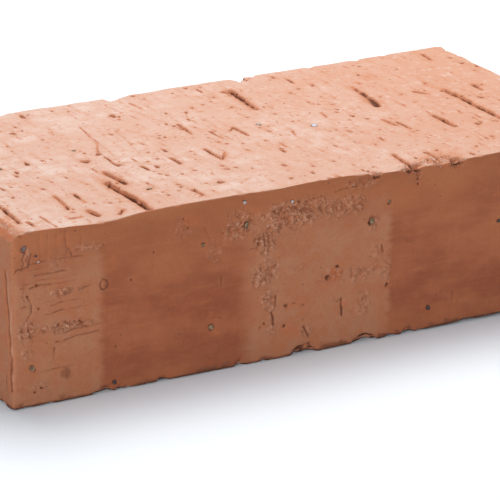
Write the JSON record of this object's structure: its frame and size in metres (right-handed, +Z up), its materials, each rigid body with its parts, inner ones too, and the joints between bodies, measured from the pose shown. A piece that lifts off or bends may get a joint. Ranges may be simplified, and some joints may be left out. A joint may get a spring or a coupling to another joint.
{
  "type": "solid clay brick",
  "caption": "Solid wire-cut fired-clay building brick: a rectangular block with dragged, pitted bed faces and smooth side faces, laid in mortar to make walls and paving.",
  "frame": {"origin": "centre of the lower bed face, the face that the brick lies on", "axes": "+X along the length, +Y across the width towards the back stretcher face, +Z up through the height, square to the two wire-cut bed faces"},
  "size_m": [0.25, 0.12, 0.065],
  "materials": {
    "fired_clay": "matt, unglazed, kiln-fired red clay",
    "iron_grain": "dull, dark, iron-rich mineral",
    "pale_grain": "pale, slightly glassy quartz and lime"
  },
  "bodies": {
    "root": {"brick_body": "fired_clay", "iron_grain_1": "iron_grain", "iron_grain_2": "iron_grain", "iron_grain_3": "iron_grain", "iron_grain_4": "iron_grain", "iron_grain_5": "iron_grain", "iron_grain_6": "iron_grain", "iron_grain_7": "iron_grain", "iron_grain_8": "iron_grain", "pale_grain_1": "pale_grain", "pale_grain_2": "pale_grain", "pale_grain_3": "pale_grain", "pale_grain_4": "pale_grain", "pale_grain_5": "pale_grain", "pale_grain_6": "pale_grain", "pale_grain_7": "pale_grain", "pale_grain_8": "pale_grain", "pale_grain_9": "pale_grain", "pale_grain_10": "pale_grain", "pale_grain_11": "pale_grain"}
  },
  "joints": []
}
